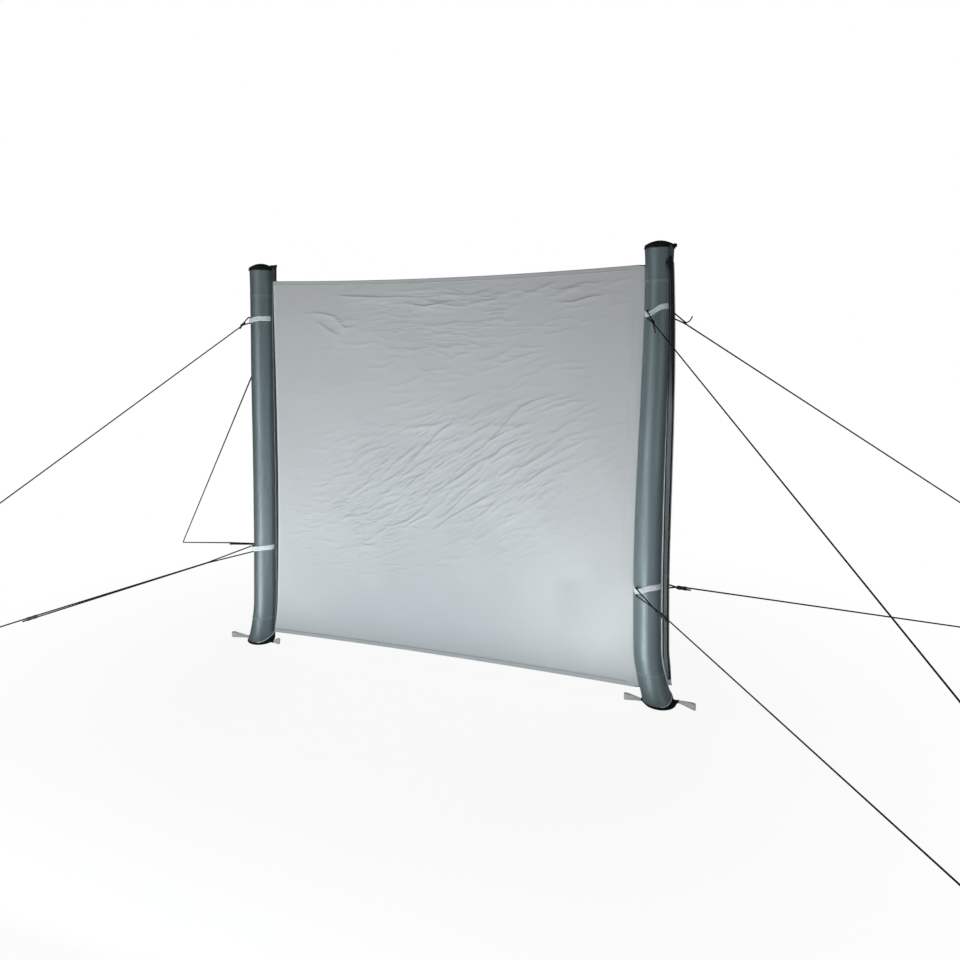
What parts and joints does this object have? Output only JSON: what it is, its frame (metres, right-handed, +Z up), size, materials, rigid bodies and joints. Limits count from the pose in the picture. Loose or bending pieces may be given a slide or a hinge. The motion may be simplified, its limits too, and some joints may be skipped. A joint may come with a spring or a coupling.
{
  "type": "inflatable beach windbreak bay",
  "caption": "Windbreak bay: a pale cloth panel zipped between upright air tubes with black end caps, held by webbing bands and guy lines, with free zips for more bays.",
  "frame": {"origin": "centre of the flat sole of the left foot, on the ground", "axes": "+X along the panel from the left foot to the right foot, +Y to the sheltered side away from the viewer, +Z up"},
  "size_m": [6.4375, 3.2769, 2],
  "materials": {
    "sleeve": "slate grey-green woven polyester sleeve, slight sheen",
    "cap": "black coated fabric end with bound edge",
    "band_webbing": "pale grey webbing",
    "loop_webbing": "mid grey webbing with dark edges",
    "flange": "grey-green fabric flange with pale piping",
    "zip": "black coil zip on woven tape",
    "pull": "pale grey pull tab",
    "panel_cloth": "light grey plain weave polyester, creased",
    "valve": "black moulded",
    "line": "black braided line",
    "slider": "black moulded"
  },
  "bodies": {
    "root": {"left_tube": "sleeve", "left_tube_top_section": "sleeve", "left_tube_foot_section": "sleeve", "left_top_cap": "cap", "left_foot_cap": "cap", "left_upper_band": "band_webbing", "left_lower_band": "band_webbing", "left_inner_flange": "flange", "left_inner_zip": "zip", "left_outer_flange": "flange", "left_outer_zip": "zip", "left_outer_zip_pull": "pull", "left_valve": "valve", "left_outer_peg_loop": "loop_webbing", "left_inner_peg_loop": "loop_webbing", "right_tube": "sleeve", "right_tube_top_section": "sleeve", "right_tube_foot_section": "sleeve", "right_top_cap": "cap", "right_foot_cap": "cap", "right_upper_band": "band_webbing", "right_lower_band": "band_webbing", "right_inner_flange": "flange", "right_inner_zip": "zip", "right_outer_flange": "flange", "right_outer_zip": "zip", "right_outer_zip_pull": "pull", "right_valve": "valve", "right_outer_peg_loop": "loop_webbing", "right_inner_peg_loop": "loop_webbing", "panel": "panel_cloth", "panel_left_zip": "zip", "panel_right_zip": "zip", "panel_left_flap": "panel_cloth", "panel_right_flap": "panel_cloth", "front_left_guy_line": "line", "rear_left_guy_line": "line", "front_right_guy_line": "line", "rear_right_guy_line": "line", "front_left_slider": "slider", "rear_left_slider": "slider", "front_right_slider": "slider", "rear_right_slider": "slider"}
  },
  "joints": []
}
